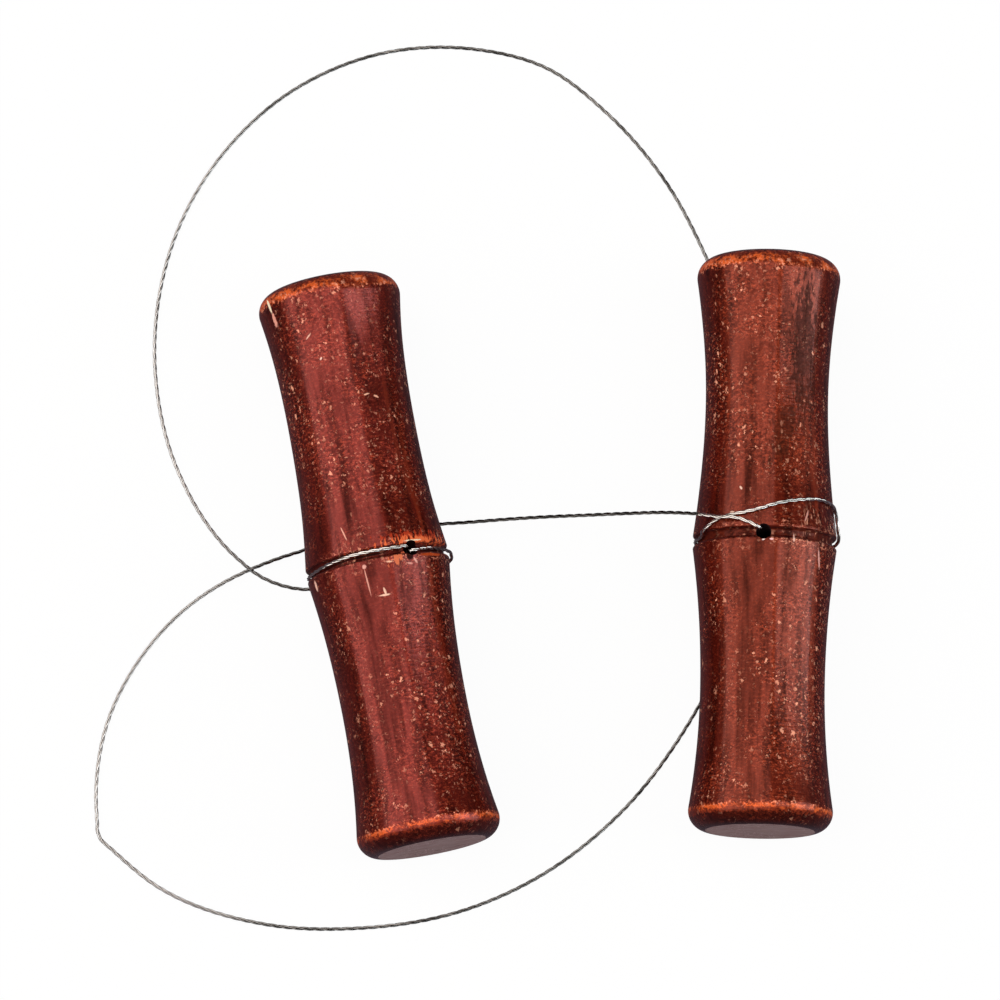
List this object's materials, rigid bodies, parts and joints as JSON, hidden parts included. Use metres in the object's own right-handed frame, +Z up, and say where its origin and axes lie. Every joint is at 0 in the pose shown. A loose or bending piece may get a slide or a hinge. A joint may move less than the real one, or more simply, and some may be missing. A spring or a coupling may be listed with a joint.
{
  "type": "clay cutter",
  "caption": "Clay cutter: a fine twisted wire tied at each end into the grooved, cross-drilled middle of a waisted, turned wooden handle, laid in a wide loop.",
  "frame": {"origin": "on the table, at the middle of the rectangle that the two handles cover", "axes": "+Z up from the table, +Y along the right handle towards the wire's high arch, +X from the left handle to the right one"},
  "size_m": [0.0985, 0.1198, 0.0201],
  "materials": {
    "handle_wood": "gloss",
    "twisted_steel": "satin"
  },
  "bodies": {
    "cutting_wire": {"cutting_wire": "twisted_steel"},
    "left_handle": {"left_handle": "handle_wood", "left_wire_tie": "twisted_steel"},
    "right_handle": {"right_handle": "handle_wood", "right_wire_tie": "twisted_steel"}
  },
  "joints": [
    {"name": "left_handle_swing", "type": "hinge", "parent": "cutting_wire", "child": "left_handle", "pos_m": [-0.02689, -0.00222, 0.0013], "axis": [0, 0, 1], "range_deg": [-25, 15]},
    {"name": "right_handle_swing", "type": "hinge", "parent": "cutting_wire", "child": "right_handle", "pos_m": [0.01932, 0.00454, 0.0159], "axis": [0, 0, 1], "range_deg": [-15, 25]}
  ]
}
